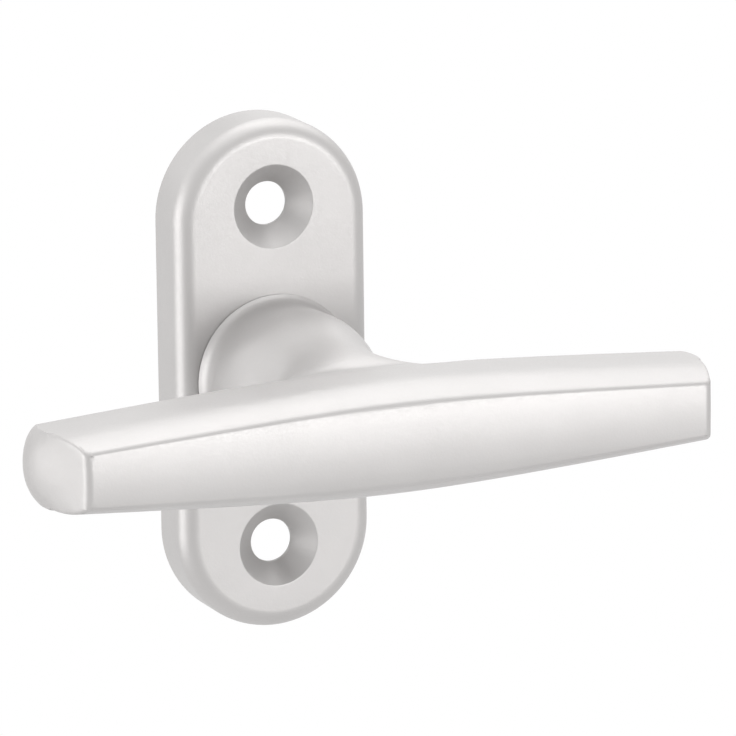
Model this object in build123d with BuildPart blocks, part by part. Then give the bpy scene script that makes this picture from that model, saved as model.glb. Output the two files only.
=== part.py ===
from build123d import *
import os
from math import asin, cos, degrees, radians, sin, sqrt, tan

# A T-shaped window handle on an oblong screw-on rose, all sizes in millimetres.
# X runs along the grip bar, Z along the rose, and the front faces -Y.
# The origin is the middle of the rose on its back plane, which lies on the window.
# A depth is counted from that plane to the front, so a depth of 5 is at y = -5.

# Rose
rose_width = 25.5
rose_height = 64.6
rose_depth = 7.4
rose_edge_radius = 2.35
rose_side_wall = 2.0
rose_front_wall = 3.0
screw_spacing = 43.0
screw_hole_diameter = 5.5
countersink_diameter = 10.5
countersink_rim_radius = 0.25
relief_diameter = 10.4
relief_wall = 1.5

# Grip bar
bar_front_depth = 46.95
bar_front_half_length = 40.5
bar_depth = 14.5
crown_lead = 0.6
crown_margin = 1.0
bar_crown_radius = 32.0
crease_half_height_middle = 5.06
crease_half_height_end = 3.36
flank_rise_middle = 1.9
flank_rise_end = 1.31
flank_depth = 8.0
flank_fullness = 1.1
taper_start = 11.4
taper_fullness = 0.75
end_flare_angle = 20.0
end_flare_depth = 8.65
end_plan_radius = 7.0
end_oval_length = 3.45
end_oval_growth = 2.3
end_oval_share = 0.85
end_edge_radius = 1.2
back_edge_radius = 3.0

# Neck
neck_base_radius = 10.45
neck_foot_step = 0.85
neck_foot_length = 2.4
neck_waist_step = 0.7
neck_waist_length = 13.0
neck_throat_length = 4.0
neck_throat_widening = 0.1
neck_throat_lowering = 1.3
neck_mouth_length = 0.8
neck_mouth_half_width = 11.2
neck_mouth_half_height = 7.05
neck_saddle_half_height = 6.8
neck_saddle_half_width = 20.0
neck_overlap = 4.6
round_fullness = 0.5523
throat_fullness = 0.62
saddle_fullness = 0.8
neck_blend_radius = 2.0

# Shank, spindle and set screw
shank_diameter = 12.5
shank_across_flats = 11.0
shank_end_depth = 0.3
shank_chamfer = 0.4
shank_merge = 2.0
spindle_across_flats = 7.0
spindle_reach = 18.0
spindle_chamfer = 0.7
socket_clearance = 0.05
spindle_end_gap = 0.3
socket_depth = 22.0
set_screw_diameter = 5.0
set_screw_recess = 0.75
set_screw_depth = 14.5
set_screw_hex = 2.5
set_screw_chamfer = 0.4
set_screw_hex_depth = 2.2
thread_clearance = 0.05

# Bearing and detent
bush_wall = 1.25
bush_flange_diameter = 18.0
bush_flange_thickness = 0.9
bush_stand_out = 0.1
running_clearance = 0.05
fit_clearance = 0.02
slide_washer_thickness = 0.4
slide_washer_diameter = 17.5
disc_spring_gauge = 0.35
disc_spring_height = 0.8
disc_spring_diameter = 17.2
cam_across_flats = 14.5
cam_corner_radius = 3.0
cam_thickness = 1.6
ring_thickness = 0.8
ring_diameter = 15.8
ring_groove_depth = 0.4
ring_gap = 3.2
ring_plier_hole = 0.9
spring_gauge = 0.55
spring_half_length = 13.4
spring_hook_length = 1.6
spring_bend_radius = 0.6
spring_gap = 0.05
spring_seat_inner_wall = 0.9
spring_seat_clearance = 0.12
spring_seat_length = 2.2

# Keeper plate and its screws
keeper_thickness = 1.0
keeper_half_height = 14.5
keeper_hole_diameter = 17.0
keeper_corner_radius = 1.5
keeper_inset = 0.05
keeper_side_gap = 0.15
post_diameter = 4.4
post_distance = 12.2
keeper_screw_diameter = 2.2
keeper_screw_head = 4.0
keeper_screw_length = 5.2
keeper_slot_width = 0.6
keeper_slot_depth = 0.5
keeper_screw_point = 0.5
drill_allowance = 0.4

# Places worked out from the sizes above
neck_foot_radius = neck_base_radius - neck_foot_step
neck_waist_radius = neck_foot_radius - neck_waist_step
neck_throat_half_width = neck_waist_radius + neck_throat_widening
neck_throat_half_height = neck_waist_radius - neck_throat_lowering
set_screw_length = neck_waist_radius - set_screw_recess - spindle_across_flats / 2 - thread_clearance
cavity_width = rose_width - 2 * rose_side_wall
cavity_height = rose_height - 2 * rose_side_wall
cavity_depth = rose_depth - rose_front_wall
keeper_face = keeper_inset + keeper_thickness
bush_bore = shank_diameter + 2 * running_clearance
bush_diameter = bush_bore + 2 * bush_wall
bush_seat_depth = bush_flange_thickness - bush_stand_out
neck_face = rose_depth + bush_stand_out + fit_clearance
washer_back = cavity_depth - slide_washer_thickness
cam_front = washer_back - disc_spring_height
cam_back = cam_front - cam_thickness
ring_back = cam_back - ring_thickness
groove_diameter = shank_diameter - 2 * ring_groove_depth
spring_middle_x = cam_across_flats / 2 + spring_gap + spring_gauge / 2
spring_back = cam_back + running_clearance
spring_width = cam_thickness - 2 * running_clearance
bar_back_depth = bar_front_depth - bar_depth
end_flare = radians(end_flare_angle)
socket_across_flats = spindle_across_flats + 2 * socket_clearance
ring_middle_radius = (groove_diameter + ring_diameter) / 4
spring_hook_z = spring_half_length - spring_gauge / 2
screw_tip_y = -keeper_inset - keeper_screw_length


def crown_drop(half_height):
    """How far the crowned front face falls back at a height above or below its middle."""
    return bar_crown_radius - sqrt(bar_crown_radius**2 - half_height**2)


def flank_height(depth, crease_half_height, rise):
    """Half height of the bar at a depth behind its front: it rises from the crease in a soft curve."""
    crease_depth = crown_drop(crease_half_height)
    u = min((depth - crease_depth) / (flank_depth - crease_depth), 1)
    v = 1 - u
    if u < 0:
        return crease_half_height + 3 * flank_fullness * rise * u
    return crease_half_height + rise * (3 * u * v**2 * flank_fullness + 3 * u**2 * v + u**3)


def half_length(depth):
    """Half length of the bar at a depth behind its front: the ends flare, then round off."""
    if depth <= end_flare_depth:
        return bar_front_half_length + depth * tan(end_flare)
    centre_x = bar_front_half_length + end_flare_depth * tan(end_flare) - end_plan_radius * cos(end_flare)
    centre_depth = end_flare_depth + end_plan_radius * sin(end_flare)
    return centre_x + sqrt(end_plan_radius**2 - (depth - centre_depth) ** 2)


def bar_outline(depth):
    """Outline of the bar at a depth: tapers from a soft middle, with ends straight in front and oval behind."""
    middle = flank_height(depth, crease_half_height_middle, flank_rise_middle)
    end = flank_height(depth, crease_half_height_end, flank_rise_end)
    reach = half_length(depth)
    oval_share = end_oval_share * (max(depth, 0) / bar_depth) ** end_oval_growth
    oval_length = oval_share * end_oval_length
    corner = reach - oval_length
    for sx in (1, -1):
        for sz in (1, -1):
            Bezier(
                (0, sz * middle),
                (sx * taper_fullness * taper_start, sz * middle),
                (
                    sx * (corner - taper_fullness * (corner - taper_start)),
                    sz * (end + taper_fullness * (middle - end)),
                ),
                (sx * corner, sz * end),
            )
        bulge_x = reach + oval_length / 3
        bulge_z = end * (1 + 2 * oval_share) / 3
        Bezier((sx * corner, end), (sx * bulge_x, bulge_z), (sx * bulge_x, -bulge_z), (sx * corner, -end))


def oval(half_width, half_height, fullness):
    """Closed outline of four curves, a circle at a fullness of 0.5523 and squarer above it."""
    for sx in (1, -1):
        for sz in (1, -1):
            Bezier(
                (sx * half_width, 0),
                (sx * half_width, sz * fullness * half_height),
                (sx * fullness * half_width, sz * half_height),
                (0, sz * half_height),
            )


# Rose: a hollow casting with two screw bosses, two keeper posts and four spring seats
with BuildPart() as rose:
    with BuildSketch(Plane.XZ):
        SlotOverall(rose_height, rose_width, rotation=90)
    extrude(amount=rose_depth)
    front_face = rose.faces().sort_by(Axis.Y)[0]
    fillet(front_face.edges(), rose_edge_radius)
    with BuildSketch(Plane.XZ):
        SlotOverall(cavity_height, cavity_width, rotation=90)
    extrude(amount=cavity_depth, mode=Mode.SUBTRACT)
    with BuildSketch(Plane.XZ):
        with GridLocations(0, screw_spacing, 1, 2):
            Circle(relief_diameter / 2 + relief_wall)
    extrude(amount=cavity_depth)
    with BuildSketch(Plane.XZ.offset(keeper_face)):
        with GridLocations(0, 2 * post_distance, 1, 2):
            Circle(post_diameter / 2)
        seat_inner_x = spring_middle_x - spring_gauge / 2 - spring_seat_inner_wall
        seat_width = cavity_width / 2 - seat_inner_x
        seat_end = spring_half_length - spring_gauge - spring_seat_clearance
        seat_spacing = 2 * (seat_end - spring_seat_length / 2)
        with GridLocations(2 * seat_inner_x + seat_width, seat_spacing, 2, 2):
            Rectangle(seat_width, spring_seat_length)
        slot_width = spring_gauge + 2 * spring_seat_clearance
        with GridLocations(2 * spring_middle_x, 0, 2, 1):
            Rectangle(slot_width, 2 * spring_half_length, mode=Mode.SUBTRACT)
    extrude(amount=cavity_depth - keeper_face)
    with BuildSketch(Plane.XZ):
        with GridLocations(0, screw_spacing, 1, 2):
            Circle(relief_diameter / 2)
    extrude(amount=cavity_depth, mode=Mode.SUBTRACT)
    with BuildSketch(Plane.XZ):
        with GridLocations(0, 2 * post_distance, 1, 2):
            Circle(keeper_screw_diameter / 2 + fit_clearance)
    extrude(amount=keeper_inset + keeper_screw_length + drill_allowance, mode=Mode.SUBTRACT)
    with Locations(Plane.XZ.offset(rose_depth)):
        CounterBoreHole(
            radius=bush_diameter / 2 + fit_clearance,
            counter_bore_radius=bush_flange_diameter / 2 + fit_clearance,
            counter_bore_depth=bush_seat_depth,
        )
        with GridLocations(0, screw_spacing, 1, 2):
            CounterSinkHole(
                radius=screw_hole_diameter / 2,
                counter_sink_radius=countersink_diameter / 2,
                counter_sink_angle=90,
            )
    rims = rose.faces().sort_by(Axis.Y)[0].edges().filter_by(GeomType.CIRCLE)
    rims = rims.filter_by(lambda e: abs(e.radius - countersink_diameter / 2) < 0.01)
    fillet(rims, countersink_rim_radius)
rose.part.label = "rose"

# Grip bar: outlines lofted from front to back, trimmed by the crown, then rounded
flank_depths = [flank_depth * step / 4 for step in range(1, 5)]
back_depths = [flank_depth + (bar_depth - flank_depth) * step / 3 for step in range(1, 4)]
with BuildPart() as grip_bar:
    for depth in [-crown_lead] + flank_depths + back_depths:
        with BuildSketch(Plane.XZ.offset(bar_front_depth - depth)):
            with BuildLine():
                bar_outline(depth)
            make_face()
    loft()
    with BuildSketch(Plane.YZ):
        with BuildLine():
            crown_top = crease_half_height_middle + flank_rise_middle + crown_margin
            crown_y = crown_drop(crown_top) - bar_front_depth
            ThreePointArc((crown_y, -crown_top), (-bar_front_depth, 0), (crown_y, crown_top))
            Polyline((crown_y, crown_top), (0, crown_top), (0, -crown_top), (crown_y, -crown_top))
        make_face()
    extrude(amount=2 * bar_front_half_length, both=True, mode=Mode.INTERSECT)
    back_face = grip_bar.faces().sort_by(Axis.Y)[-1]
    fillet(back_face.edges(), back_edge_radius)
    front_face = grip_bar.faces().sort_by(Axis.Y)[0]
    upright_edges = front_face.edges().filter_by(lambda e: e.length < bar_front_half_length / 2)
    fillet(upright_edges, end_edge_radius)

# Neck: ovals lofted from the round foot to a saddle that flares into the bar's back
neck_foot_middle = (neck_base_radius + 2 * neck_foot_radius) / 3
neck_sections = (
    (neck_face, neck_base_radius, neck_base_radius, round_fullness),
    (neck_face + neck_foot_length / 3, neck_foot_middle, neck_foot_middle, round_fullness),
    (neck_face + neck_foot_length, neck_foot_radius, neck_foot_radius, round_fullness),
    (neck_face + neck_waist_length, neck_waist_radius, neck_waist_radius, round_fullness),
    (bar_back_depth - neck_throat_length, neck_throat_half_width, neck_throat_half_height, throat_fullness),
    (bar_back_depth - neck_mouth_length, neck_mouth_half_width, neck_mouth_half_height, saddle_fullness),
    (bar_back_depth + neck_overlap, neck_saddle_half_width, neck_saddle_half_height, saddle_fullness),
)
with BuildPart() as neck:
    for depth, half_width, half_height, fullness in neck_sections:
        with BuildSketch(Plane.XZ.offset(depth)):
            with BuildLine():
                oval(half_width, half_height, fullness)
            make_face()
    loft()

# Grip: bar, neck and shank in one casting, with the spindle's square socket
with BuildPart() as t_grip:
    add(grip_bar.part)
    add(neck.part)
    seams = t_grip.edges().filter_by(lambda e: e.length < 2 * neck_saddle_half_width)
    seams = seams.filter_by(lambda e: abs(e.center().X) < neck_saddle_half_width)
    seams = seams.filter_by(lambda e: -neck_mouth_length < -e.center().Y - bar_back_depth < neck_overlap)
    fillet(seams, neck_blend_radius)
    with BuildSketch(Plane.XZ.offset(shank_end_depth)):
        Circle(shank_diameter / 2)
        Rectangle(shank_across_flats, shank_diameter, mode=Mode.INTERSECT)
    extrude(amount=cam_front - shank_end_depth)
    with BuildSketch(Plane.XZ.offset(cam_front)):
        Circle(shank_diameter / 2)
    extrude(amount=neck_face + shank_merge - cam_front)
    with BuildSketch(Plane.XZ.offset(ring_back - running_clearance)):
        Circle(shank_diameter)
        Circle(groove_diameter / 2, mode=Mode.SUBTRACT)
    extrude(amount=cam_back - ring_back + 2 * running_clearance, mode=Mode.SUBTRACT)
    with BuildSketch(Plane.XZ):
        Rectangle(socket_across_flats, socket_across_flats)
    extrude(amount=socket_depth, mode=Mode.SUBTRACT)
    with BuildSketch(Plane.XY.offset(-neck_base_radius)):
        with Locations((0, -set_screw_depth)):
            Circle(set_screw_diameter / 2 + thread_clearance)
    extrude(amount=neck_base_radius, mode=Mode.SUBTRACT)
    shank_rim = t_grip.faces().sort_by(Axis.Y)[-1].edges().filter_by(GeomType.CIRCLE)
    chamfer(shank_rim, shank_chamfer)
t_grip.part.label = "t_grip"

# Square spindle: fixed in the grip's socket, it drives the window's gear behind the rose
with BuildPart() as square_spindle:
    with BuildSketch(Plane.XZ.offset(-spindle_reach)):
        Rectangle(spindle_across_flats, spindle_across_flats)
    extrude(amount=spindle_reach + socket_depth - spindle_end_gap)
    chamfer(square_spindle.faces().sort_by(Axis.Y)[-1].edges(), spindle_chamfer)
    chamfer(square_spindle.faces().sort_by(Axis.Y)[0].edges(), spindle_chamfer)
square_spindle.part.label = "square_spindle"

# Set screw: a headless screw in the underside of the neck that clamps the spindle
with BuildPart() as set_screw:
    screw_top = -spindle_across_flats / 2 - thread_clearance
    with BuildSketch(Plane.XY.offset(screw_top - set_screw_length)):
        with Locations((0, -set_screw_depth)):
            Circle(set_screw_diameter / 2)
    extrude(amount=set_screw_length)
    chamfer(set_screw.edges().filter_by(GeomType.CIRCLE), set_screw_chamfer)
    with BuildSketch(Plane.XY.offset(screw_top - set_screw_length)):
        with Locations((0, -set_screw_depth)):
            RegularPolygon(set_screw_hex / 2, 6, major_radius=False)
    extrude(amount=set_screw_hex_depth, mode=Mode.SUBTRACT)
set_screw.part.label = "set_screw"

# Neck bush: the shank's plain bearing, with a flange that the neck's foot slides on
with BuildPart() as neck_bush:
    with BuildSketch(Plane.XZ.offset(cavity_depth)):
        Circle(bush_diameter / 2)
    extrude(amount=rose_front_wall + bush_stand_out)
    with BuildSketch(Plane.XZ.offset(rose_depth - bush_seat_depth)):
        Circle(bush_flange_diameter / 2)
    extrude(amount=bush_flange_thickness)
    with Locations(Plane.XZ.offset(rose_depth + bush_stand_out)):
        Hole(bush_bore / 2)
neck_bush.part.label = "neck_bush"

# Slide washer: lies on the rose's inner wall and carries the disc spring's rim
with BuildPart() as slide_washer:
    with BuildSketch(Plane.XZ.offset(washer_back)):
        Circle(slide_washer_diameter / 2)
        Circle(bush_bore / 2, mode=Mode.SUBTRACT)
    extrude(amount=slide_washer_thickness)
slide_washer.part.label = "slide_washer"

# Disc spring: a coned washer that takes up the grip's end play
with BuildPart() as disc_spring:
    with BuildSketch(Plane.XY):
        with BuildLine():
            Polyline(
                (bush_bore / 2, -cam_front),
                (disc_spring_diameter / 2, -washer_back + disc_spring_gauge),
                (disc_spring_diameter / 2, -washer_back),
                (bush_bore / 2, -cam_front - disc_spring_gauge),
                close=True,
            )
        make_face()
    revolve(axis=Axis.Y)
disc_spring.part.label = "disc_spring"

# Detent cam: a rounded square on the shank's flats that turns in four clicks
with BuildSketch() as shank_hole:
    Circle(shank_diameter / 2 + running_clearance)
    Rectangle(shank_across_flats + 2 * running_clearance, 2 * shank_diameter, mode=Mode.INTERSECT)
with BuildPart() as detent_cam:
    with BuildSketch(Plane.XZ.offset(cam_back)):
        RectangleRounded(cam_across_flats, cam_across_flats, cam_corner_radius)
        add(shank_hole.sketch, mode=Mode.SUBTRACT)
    extrude(amount=cam_thickness)
detent_cam.part.label = "detent_cam"

# Retaining ring: an open ring in the shank's groove
with BuildPart() as retaining_ring:
    with BuildSketch(Plane.XZ.offset(ring_back)):
        Circle(ring_diameter / 2)
        Circle(groove_diameter / 2 + fit_clearance, mode=Mode.SUBTRACT)
        with Locations((0, ring_diameter / 2)):
            Rectangle(ring_gap, ring_diameter, mode=Mode.SUBTRACT)
        lug_angle = degrees(asin((ring_gap / 2 + ring_plier_hole) / ring_middle_radius))
        with PolarLocations(ring_middle_radius, 2, start_angle=90 - lug_angle, angular_range=4 * lug_angle):
            Circle(ring_plier_hole / 2, mode=Mode.SUBTRACT)
    extrude(amount=ring_thickness)
retaining_ring.part.label = "retaining_ring"

# Detent springs: flat strips with hooked ends, one on each side of the cam
detent_springs = {}
for name, side in (("detent_spring_left", -1), ("detent_spring_right", 1)):
    with BuildPart() as strip:
        with BuildSketch(Plane.XZ.offset(spring_back)):
            with BuildLine():
                FilletPolyline(
                    (side * (spring_middle_x + spring_hook_length), -spring_hook_z),
                    (side * spring_middle_x, -spring_hook_z),
                    (side * spring_middle_x, spring_hook_z),
                    (side * (spring_middle_x + spring_hook_length), spring_hook_z),
                    radius=spring_bend_radius,
                )
            trace(line_width=spring_gauge)
        extrude(amount=spring_width)
    strip.part.label = name
    detent_springs[name] = strip.part

# Keeper plate: closes the rose's back over the springs, between the screw bosses
with BuildPart() as keeper_plate:
    with BuildSketch(Plane.XZ.offset(keeper_inset)):
        RectangleRounded(cavity_width - 2 * keeper_side_gap, 2 * keeper_half_height, keeper_corner_radius)
        Circle(keeper_hole_diameter / 2, mode=Mode.SUBTRACT)
    extrude(amount=keeper_thickness)
    with Locations(Plane.ZX.offset(-keeper_inset)):
        with GridLocations(2 * post_distance, 0, 2, 1):
            CounterSinkHole(
                radius=keeper_screw_diameter / 2 + fit_clearance,
                counter_sink_radius=keeper_screw_head / 2 + fit_clearance,
                counter_sink_angle=90,
            )
keeper_plate.part.label = "keeper_plate"

# Keeper screws: small countersunk screws in the rose's two posts
keeper_screws = {}
head_height = (keeper_screw_head - keeper_screw_diameter) / 2
for name, side in (("keeper_screw_upper", 1), ("keeper_screw_lower", -1)):
    with BuildPart() as screw:
        with BuildSketch(Plane.XY.offset(side * post_distance)):
            with BuildLine():
                Polyline(
                    (0, -keeper_inset),
                    (keeper_screw_head / 2, -keeper_inset),
                    (keeper_screw_diameter / 2, -keeper_inset - head_height),
                    (keeper_screw_diameter / 2, screw_tip_y + keeper_screw_point),
                    (keeper_screw_diameter / 2 - keeper_screw_point, screw_tip_y),
                    (0, screw_tip_y),
                    close=True,
                )
            make_face()
        revolve(axis=Axis((0, 0, side * post_distance), (0, 1, 0)))
        with BuildSketch(Plane.XZ):
            with Locations((0, side * post_distance)):
                Rectangle(keeper_screw_head, keeper_slot_width)
        extrude(amount=keeper_inset + keeper_slot_depth, mode=Mode.SUBTRACT)
    screw.part.label = name
    keeper_screws[name] = screw.part

os.makedirs("parts", exist_ok=True)
export_step(rose.part, "parts/rose.step")
export_step(t_grip.part, "parts/t_grip.step")
export_step(square_spindle.part, "parts/square_spindle.step")
export_step(set_screw.part, "parts/set_screw.step")
export_step(neck_bush.part, "parts/neck_bush.step")
export_step(slide_washer.part, "parts/slide_washer.step")
export_step(disc_spring.part, "parts/disc_spring.step")
export_step(detent_cam.part, "parts/detent_cam.step")
export_step(retaining_ring.part, "parts/retaining_ring.step")
export_step(keeper_plate.part, "parts/keeper_plate.step")
for name, solid in (detent_springs | keeper_screws).items():
    export_step(solid, f"parts/{name}.step")
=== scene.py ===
"""Looks of a T-shaped window handle on an oblong rose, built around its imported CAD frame.

Lengths are in metres. X runs along the grip bar, Z along the rose, and the front faces -Y.
"""

import logging
import math
from dataclasses import dataclass, field
from enum import Enum

import bmesh
import bpy
from mathutils import Matrix, Vector


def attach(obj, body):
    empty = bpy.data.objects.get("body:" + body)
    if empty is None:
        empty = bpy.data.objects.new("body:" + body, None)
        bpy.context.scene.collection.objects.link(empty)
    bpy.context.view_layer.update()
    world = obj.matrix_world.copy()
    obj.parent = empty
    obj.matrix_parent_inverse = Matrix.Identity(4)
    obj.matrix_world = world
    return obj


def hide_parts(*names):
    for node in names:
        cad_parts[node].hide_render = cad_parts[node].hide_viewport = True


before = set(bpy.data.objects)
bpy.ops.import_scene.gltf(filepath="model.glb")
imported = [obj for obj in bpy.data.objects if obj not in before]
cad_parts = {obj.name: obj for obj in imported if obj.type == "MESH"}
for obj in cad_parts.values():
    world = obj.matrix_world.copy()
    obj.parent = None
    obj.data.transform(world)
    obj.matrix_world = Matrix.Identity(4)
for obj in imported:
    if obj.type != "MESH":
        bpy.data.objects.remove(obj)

log = logging.getLogger("window_handle")
MILLIMETRE = 0.001
NOISE_LOW, NOISE_HIGH = 0.3, 0.7  # a noise pattern stays between these almost everywhere
WHITE = (1, 1, 1, 1)


class Body(Enum):
    """The two bodies of the handle that move against each other."""

    ROSE = "rose_body"
    GRIP = "grip_body"


class Grain(Enum):
    """How the fine marks of a finish run over a piece. A small number draws them out."""

    EVEN = (1.0, 1.0, 1.0)
    ALONG_SPINDLE = (1.0, 0.03, 1.0)
    ALONG_ROSE = (1.0, 1.0, 0.04)


@dataclass(frozen=True)
class Finish:
    """A procedural metal or plastic finish with a fine grain and soft cloudy changes of tone.

    colour is the linear base colour, and tone_change is the share by which its clouds lighten or
    darken it. roughness_change is how far the grain raises or lowers the roughness. cloud_size,
    grain_size and grain_depth are in millimetres.
    """

    name: str
    colour: tuple[float, float, float]
    metallic: float
    roughness: float
    roughness_change: float = 0.05
    tone_change: float = 0.02
    cloud_size: float = 9.0
    cloud_octaves: float = 3.0
    grain_size: float = 0.12
    grain_octaves: float = 2.0
    grain_depth: float = 0.002
    grain: Grain = Grain.EVEN
    coat: float = 0.0
    coat_roughness: float = 0.25

    def material(self) -> bpy.types.Material:
        """Make the material of this finish, or return it if it exists.

        Returns:
            The material, whose patterns read Object coordinates.
        """
        if self.name in bpy.data.materials:
            return bpy.data.materials[self.name]
        material = bpy.data.materials.new(self.name)
        material.use_nodes = True
        nodes, links = material.node_tree.nodes, material.node_tree.links
        shader = nodes["Principled BSDF"]
        shader.inputs["Metallic"].default_value = self.metallic
        shader.inputs["Coat Weight"].default_value = self.coat
        shader.inputs["Coat Roughness"].default_value = self.coat_roughness
        place = nodes.new("ShaderNodeTexCoord")
        clouds = self._noise(nodes, links, place, self.cloud_size, self.cloud_octaves, Grain.EVEN)
        grain = self._noise(nodes, links, place, self.grain_size, self.grain_octaves, self.grain)
        tint = nodes.new("ShaderNodeVectorMath")
        tint.operation = "SCALE"
        tint.inputs[0].default_value = self.colour
        tone = self._range(nodes, links, clouds, 1 - self.tone_change, 1 + self.tone_change)
        links.new(tone, tint.inputs["Scale"])
        links.new(tint.outputs["Vector"], shader.inputs["Base Color"])
        low = self.roughness - self.roughness_change
        high = self.roughness + self.roughness_change
        links.new(self._range(nodes, links, grain, low, high), shader.inputs["Roughness"])
        bump = nodes.new("ShaderNodeBump")
        bump.inputs["Strength"].default_value = 1.0
        bump.inputs["Distance"].default_value = self.grain_depth * MILLIMETRE
        links.new(grain, bump.inputs["Height"])
        links.new(bump.outputs["Normal"], shader.inputs["Normal"])
        return material

    @staticmethod
    def _noise(
        nodes: bpy.types.Nodes,
        links: bpy.types.NodeLinks,
        place: bpy.types.Node,
        size: float,
        octaves: float,
        grain: Grain,
    ) -> bpy.types.NodeSocket:
        """Add a noise pattern that is drawn out as the grain says.

        Args:
            nodes: The material's nodes.
            links: The material's links.
            place: The Texture Coordinate node.
            size: The size of a mark in millimetres.
            octaves: How many finer layers the noise has.
            grain: The direction in which the marks are drawn out.

        Returns:
            The noise's value socket.
        """
        stretch = nodes.new("ShaderNodeMapping")
        stretch.inputs["Scale"].default_value = grain.value
        links.new(place.outputs["Object"], stretch.inputs["Vector"])
        noise = nodes.new("ShaderNodeTexNoise")
        noise.inputs["Scale"].default_value = 1 / (size * MILLIMETRE)
        noise.inputs["Detail"].default_value = octaves
        links.new(stretch.outputs["Vector"], noise.inputs["Vector"])
        return noise.outputs["Fac"]

    @staticmethod
    def _range(
        nodes: bpy.types.Nodes,
        links: bpy.types.NodeLinks,
        value: bpy.types.NodeSocket,
        low: float,
        high: float,
    ) -> bpy.types.NodeSocket:
        """Add a Map Range node that spreads the middle of a noise between two values.

        Args:
            nodes: The material's nodes.
            links: The material's links.
            value: The socket to spread.
            low: The result at the noise's usual low.
            high: The result at its usual high.

        Returns:
            The spread value's socket.
        """
        spread = nodes.new("ShaderNodeMapRange")
        spread.inputs["From Min"].default_value = NOISE_LOW
        spread.inputs["From Max"].default_value = NOISE_HIGH
        spread.inputs["To Min"].default_value = low
        spread.inputs["To Max"].default_value = high
        links.new(value, spread.inputs["Value"])
        return spread.outputs["Result"]


SATIN_ALUMINIUM = Finish(
    name="satin_aluminium",
    colour=(0.475, 0.463, 0.458),
    metallic=0.5,
    roughness=0.43,
    roughness_change=0.035,
    grain_size=0.3,
    grain_depth=0.009,
)
ZINC_PLATE = Finish(
    name="zinc_plate",
    colour=(0.60, 0.61, 0.63),
    metallic=1.0,
    roughness=0.32,
    tone_change=0.06,
    grain=Grain.ALONG_ROSE,
)
DRAWN_ZINC = Finish(
    name="drawn_zinc",
    colour=(0.60, 0.61, 0.63),
    metallic=1.0,
    roughness=0.30,
    tone_change=0.05,
    grain=Grain.ALONG_SPINDLE,
)
PRESSED_STEEL = Finish(
    name="pressed_steel",
    colour=(0.52, 0.52, 0.53),
    metallic=1.0,
    roughness=0.38,
    tone_change=0.05,
)
SPRING_STEEL = Finish(
    name="spring_steel",
    colour=(0.34, 0.35, 0.37),
    metallic=1.0,
    roughness=0.28,
    tone_change=0.08,
    grain=Grain.ALONG_ROSE,
)
BLACK_STEEL = Finish(
    name="black_steel",
    colour=(0.035, 0.035, 0.038),
    metallic=0.6,
    roughness=0.45,
    tone_change=0.2,
    coat=0.2,
)
NYLON = Finish(
    name="nylon",
    colour=(0.72, 0.72, 0.67),
    metallic=0.0,
    roughness=0.42,
    grain_size=0.3,
)


@dataclass(frozen=True)
class EasedSpot:
    """A place on a casting that is polished soft, with its mirror images to the side and below.

    centre and reach are in millimetres, and a reach is half the patch's size along its axis.
    fineness is the longest edge in millimetres that should be left in the patch, and divisions the
    most times that an edge is halved for it. rounds is how often the patch's corners are evened
    out, and step how far a corner at its centre moves each time towards the mean of its ring.
    """

    centre: tuple[float, float, float]
    reach: tuple[float, float, float]
    fineness: float
    rounds: int
    divisions: int = 3
    step: float = 0.5

    def _share(self, corner: bmesh.types.BMVert) -> float:
        """Say how strongly a corner of the mesh is eased.

        Args:
            corner: The corner of the mesh.

        Returns:
            The share, which falls from 1 at the patch's centre to 0 at its rim and beyond.
        """
        place = (abs(corner.co.x), corner.co.y, abs(corner.co.z))
        offsets = (
            (at / MILLIMETRE - middle) / size
            for at, middle, size in zip(place, self.centre, self.reach)
        )
        return max(0.0, 1 - sum(offset**2 for offset in offsets))

    def _divide(self, shape: bmesh.types.BMesh) -> None:
        """Halve the patch's long edges and fill the faces with triangles again.

        Args:
            shape: The mesh of merged triangles that the patch is on.
        """
        for _ in range(self.divisions):
            long_edges = [
                edge
                for edge in shape.edges
                if edge.calc_length() > self.fineness * MILLIMETRE
                and max(self._share(corner) for corner in edge.verts) > 0
            ]
            bmesh.ops.subdivide_edges(shape, edges=long_edges, cuts=1)
            cut_faces = [face for face in shape.faces if len(face.verts) > 3]
            bmesh.ops.triangulate(shape, faces=cut_faces)

    def ease(self, shape: bmesh.types.BMesh) -> None:
        """Divide the patch finely and even out its corners.

        Args:
            shape: The mesh of merged triangles that the patch is on.
        """
        self._divide(shape)
        shares = {corner: self._share(corner) for corner in shape.verts}
        patch = {corner: share for corner, share in shares.items() if share > 0}
        rings = {
            corner: [edge.other_vert(corner) for edge in corner.link_edges] for corner in patch
        }
        for _ in range(self.rounds):
            means = {
                corner: sum((other.co for other in ring), Vector()) / len(ring)
                for corner, ring in rings.items()
            }
            for corner, share in patch.items():
                corner.co = corner.co.lerp(means[corner], share * self.step)


NECK_SEAM = EasedSpot(centre=(0.0, -33.0, 8.5), reach=(16.0, 6.5, 6.5), fineness=0.7, rounds=50)


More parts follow.
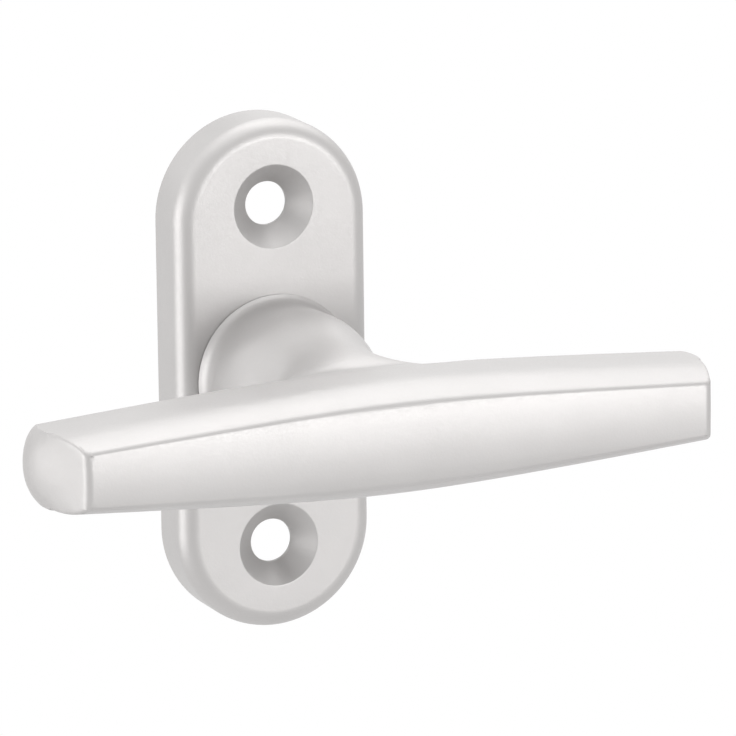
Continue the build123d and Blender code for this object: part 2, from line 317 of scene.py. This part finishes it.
@dataclass
class CastPiece:
    """A smooth visible piece that is made from a CAD node's mesh.

    sharp_angle is the angle in degrees past which an edge stays crisp in the shading, and
    face_weight is how strongly the large faces steer it. merge_distance is in metres.
    crease_softening is how far in millimetres the rounding of a crease reaches to each side, where
    0 leaves the creases as they are, and crease_segments is the number of flats across it. A crease
    is an edge that turns by more than crease_angle degrees and lies more than crease_depth
    millimetres in front of the wall.
    """

    node: str
    piece_name: str
    body: Body
    finish: Finish
    record_slot: str
    sharp_angle: float = 24.0
    face_weight: int = 100
    merge_distance: float = 0.001 * MILLIMETRE
    crease_softening: float = 0.0
    crease_depth: float = 40.0
    crease_angle: float = 24.0
    crease_segments: int = 3
    eased: tuple[EasedSpot, ...] = ()

    def _merged_copy(self) -> bmesh.types.BMesh:
        """Copy the node's loose triangles and join them at their corners.

        Returns:
            The closed mesh.
        """
        shape = bmesh.new()
        shape.from_mesh(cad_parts[self.node].data)
        bmesh.ops.remove_doubles(shape, verts=shape.verts, dist=self.merge_distance)
        bmesh.ops.dissolve_degenerate(shape, edges=shape.edges, dist=self.merge_distance / 2)
        return shape

    def _soften_creases(self, shape: bmesh.types.BMesh) -> None:
        """Round off the casting's long front edges as its coating does.

        Args:
            shape: The merged copy of the node's mesh.
        """
        front = -self.crease_depth * MILLIMETRE
        creases = [
            edge
            for edge in shape.edges
            if edge.calc_face_angle(0.0) > math.radians(self.crease_angle)
            and max(corner.co.y for corner in edge.verts) < front
        ]
        bmesh.ops.bevel(
            shape,
            geom=creases,
            offset=self.crease_softening * MILLIMETRE,
            offset_type="OFFSET",
            segments=self.crease_segments,
            profile=0.5,
            affect="EDGES",
            clamp_overlap=False,
            material=-1,
        )

    def _shade_smooth(self, shape: bmesh.types.BMesh) -> None:
        """Shade the faces smooth and keep the sharp edges crisp.

        Args:
            shape: The finished mesh.
        """
        for face in shape.faces:
            face.smooth = True
        for edge in shape.edges:
            edge.smooth = edge.calc_face_angle(math.pi) < math.radians(self.sharp_angle)

    def build(self) -> bpy.types.Object:
        """Ease, round off and dress a copy of the node's mesh and let it stand for the node.

        Returns:
            The finished piece, riding on its body.
        """
        shape = self._merged_copy()
        for spot in self.eased:
            spot.ease(shape)
        if self.crease_softening > 0:
            self._soften_creases(shape)
        self._shade_smooth(shape)
        mesh = bpy.data.meshes.new(self.piece_name)
        shape.to_mesh(mesh)
        shape.free()
        piece = bpy.data.objects.new(self.piece_name, mesh)
        bpy.context.collection.objects.link(piece)
        mesh.materials.append(self.finish.material())
        normals = piece.modifiers.new("even_normals", "WEIGHTED_NORMAL")
        normals.keep_sharp = True
        normals.weight = self.face_weight
        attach(piece, self.body.value)
        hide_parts(self.node)
        return piece


@dataclass
class Mechanism:
    """The inner pieces, which keep their CAD form and get their finishes."""

    finishes: dict[str, Finish] = field(
        default_factory=lambda: {
            "square_spindle": DRAWN_ZINC,
            "set_screw": BLACK_STEEL,
            "neck_bush": NYLON,
            "slide_washer": SPRING_STEEL,
            "disc_spring": SPRING_STEEL,
            "detent_cam": PRESSED_STEEL,
            "detent_spring_left": SPRING_STEEL,
            "detent_spring_right": SPRING_STEEL,
            "retaining_ring": BLACK_STEEL,
            "keeper_plate": ZINC_PLATE,
            "keeper_screw_upper": ZINC_PLATE,
            "keeper_screw_lower": ZINC_PLATE,
        }
    )

    def dress(self) -> None:
        """Give every inner CAD node its finish."""
        for name, finish in self.finishes.items():
            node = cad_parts[name]
            node.data.materials.clear()
            node.data.materials.append(finish.material())
            log.info("dressed %s in %s", name, finish.name)


@dataclass
class Lamp:
    """A rectangular soft box that looks at the handle from a direction.

    azimuth and elevation are in degrees, with azimuth 0 in front of the rose and 90 on its right.
    power is in watts.
    """

    name: str
    azimuth: float
    elevation: float
    distance: float
    width: float
    height: float
    power: float

    def build(self) -> None:
        """Place the soft box and turn it to the handle."""
        across = math.radians(self.azimuth)
        up = math.radians(self.elevation)
        towards = Vector(
            (math.sin(across) * math.cos(up), -math.cos(across) * math.cos(up), math.sin(up))
        )
        data = bpy.data.lights.new(self.name, "AREA")
        data.shape = "RECTANGLE"
        data.size = self.width
        data.size_y = self.height
        data.energy = self.power
        lamp = bpy.data.objects.new(self.name, data)
        bpy.context.collection.objects.link(lamp)
        lamp.location = towards * self.distance
        lamp.rotation_euler = towards.to_track_quat("Z", "Y").to_euler()


@dataclass
class Studio:
    """The pale floor, the soft light and the camera at the photograph's angle.

    The camera's azimuth, elevation and roll are in degrees and its lens in millimetres. It looks
    past the frame's origin by aim_right and aim_up.
    """

    floor_drop: float = 0.7
    floor_size: float = 12.0
    floor_tone: float = 0.9
    floor_roughness: float = 0.9
    backdrop_strength: float = 1.0
    fill_strength: float = 0.65
    camera_azimuth: float = 23.36
    camera_elevation: float = 13.41
    camera_roll: float = 0.726
    camera_distance: float = 0.9
    camera_near: float = 0.01
    aim_right: float = 0.0143
    aim_up: float = -0.00047
    lens: float = 353.1
    lamps: tuple[Lamp, ...] = (
        Lamp("left_box", -92, -3, 1.3, 1.1, 0.9, 8.0),
        Lamp("front_box", 22, 1, 1.3, 0.8, 0.45, 5.9),
        Lamp("back_box", 125, 58, 1.3, 1.5, 1.5, 9.4),
        Lamp("top_box", 10, 84, 1.3, 1.4, 1.4, 5.0),
        Lamp("rear_box", -125, 45, 1.3, 1.8, 1.6, 4.0),
    )

    @staticmethod
    def _pale(
        nodes: bpy.types.Nodes,
        links: bpy.types.NodeLinks,
        seen: bpy.types.NodeSocket,
        lit: bpy.types.NodeSocket,
    ) -> bpy.types.NodeSocket:
        """Show one shader to camera, gloss and glass rays and another to all others.

        Args:
            nodes: The tree's nodes.
            links: The tree's links.
            seen: The shader that is seen.
            lit: The shader that lights.

        Returns:
            The mixed shader's socket.
        """
        path = nodes.new("ShaderNodeLightPath")
        gloss = nodes.new("ShaderNodeMath")
        gloss.operation = "MAXIMUM"
        glass = nodes.new("ShaderNodeMath")
        glass.operation = "MAXIMUM"
        links.new(path.outputs["Is Camera Ray"], gloss.inputs[0])
        links.new(path.outputs["Is Glossy Ray"], gloss.inputs[1])
        links.new(gloss.outputs[0], glass.inputs[0])
        links.new(path.outputs["Is Transmission Ray"], glass.inputs[1])
        mix = nodes.new("ShaderNodeMixShader")
        links.new(glass.outputs[0], mix.inputs["Fac"])
        links.new(lit, mix.inputs[1])
        links.new(seen, mix.inputs[2])
        return mix.outputs["Shader"]

    def light_world(self) -> None:
        """Fill the studio with plain soft light in front of a white background."""
        world = bpy.data.worlds.new("studio")
        bpy.context.scene.world = world
        world.use_nodes = True
        nodes, links = world.node_tree.nodes, world.node_tree.links
        fill = nodes["Background"]
        fill.inputs["Color"].default_value = WHITE
        fill.inputs["Strength"].default_value = self.fill_strength
        seen = nodes.new("ShaderNodeBackground")
        seen.inputs["Color"].default_value = WHITE
        seen.inputs["Strength"].default_value = self.backdrop_strength
        pale = self._pale(nodes, links, seen.outputs[0], fill.outputs[0])
        links.new(pale, nodes["World Output"].inputs["Surface"])

    def lay_floor(self) -> None:
        """Lay a plain pale floor under the handle."""
        shape = bmesh.new()
        bmesh.ops.create_grid(shape, x_segments=1, y_segments=1, size=self.floor_size / 2)
        bmesh.ops.translate(shape, verts=shape.verts, vec=(0, 0, -self.floor_drop))
        mesh = bpy.data.meshes.new("floor")
        shape.to_mesh(mesh)
        shape.free()
        floor = bpy.data.objects.new("floor", mesh)
        bpy.context.collection.objects.link(floor)
        material = bpy.data.materials.new("pale_floor")
        material.use_nodes = True
        nodes, links = material.node_tree.nodes, material.node_tree.links
        matt = nodes["Principled BSDF"]
        tone = self.floor_tone
        matt.inputs["Base Color"].default_value = (tone, tone, tone, 1)
        matt.inputs["Roughness"].default_value = self.floor_roughness
        seen = nodes.new("ShaderNodeEmission")
        seen.inputs["Strength"].default_value = self.backdrop_strength
        pale = self._pale(nodes, links, seen.outputs[0], matt.outputs[0])
        links.new(pale, nodes["Material Output"].inputs["Surface"])
        mesh.materials.append(material)

    def place_camera(self) -> None:
        """Put the camera where the photograph was taken from."""
        across = math.radians(self.camera_azimuth)
        up = math.radians(self.camera_elevation)
        roll = Matrix.Rotation(math.radians(self.camera_roll), 3, "Z")
        right = Vector((math.cos(across), -math.sin(across), 0))
        back = Vector(
            (-math.sin(across) * math.cos(up), -math.cos(across) * math.cos(up), math.sin(up))
        )
        level = Matrix((right, back.cross(right), back)).transposed()
        turned = level @ roll.inverted()
        aim = self.aim_right * turned.col[0] + self.aim_up * turned.col[1]
        data = bpy.data.cameras.new("camera")
        data.lens = self.lens
        data.clip_start = self.camera_near
        camera = bpy.data.objects.new("camera", data)
        bpy.context.collection.objects.link(camera)
        camera.matrix_world = turned.to_4x4()
        camera.location = aim + self.camera_distance * back
        bpy.context.scene.camera = camera

    def build(self) -> None:
        """Build the whole studio round the handle."""
        self.light_world()
        self.lay_floor()
        for lamp in self.lamps:
            lamp.build()
        self.place_camera()
        bpy.context.scene.view_settings.view_transform = "Standard"


def main() -> None:
    """Build the handle's visible pieces, dress its mechanism and set up the studio."""
    logging.basicConfig(level=logging.INFO, format="%(message)s")
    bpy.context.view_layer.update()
    rose = CastPiece(
        node="rose",
        piece_name="rose_casting",
        body=Body.ROSE,
        finish=SATIN_ALUMINIUM,
        record_slot="rose_casting",
    ).build()
    log.info("built %s", rose.name)
    grip = CastPiece(
        node="t_grip",
        piece_name="grip_casting",
        body=Body.GRIP,
        finish=SATIN_ALUMINIUM,
        record_slot="grip_casting",
        crease_softening=0.4,
        eased=(NECK_SEAM,),
    ).build()
    log.info("built %s", grip.name)
    Mechanism().dress()
    Studio().build()
    log.info("built the studio")


if __name__ == "__main__":
    main()
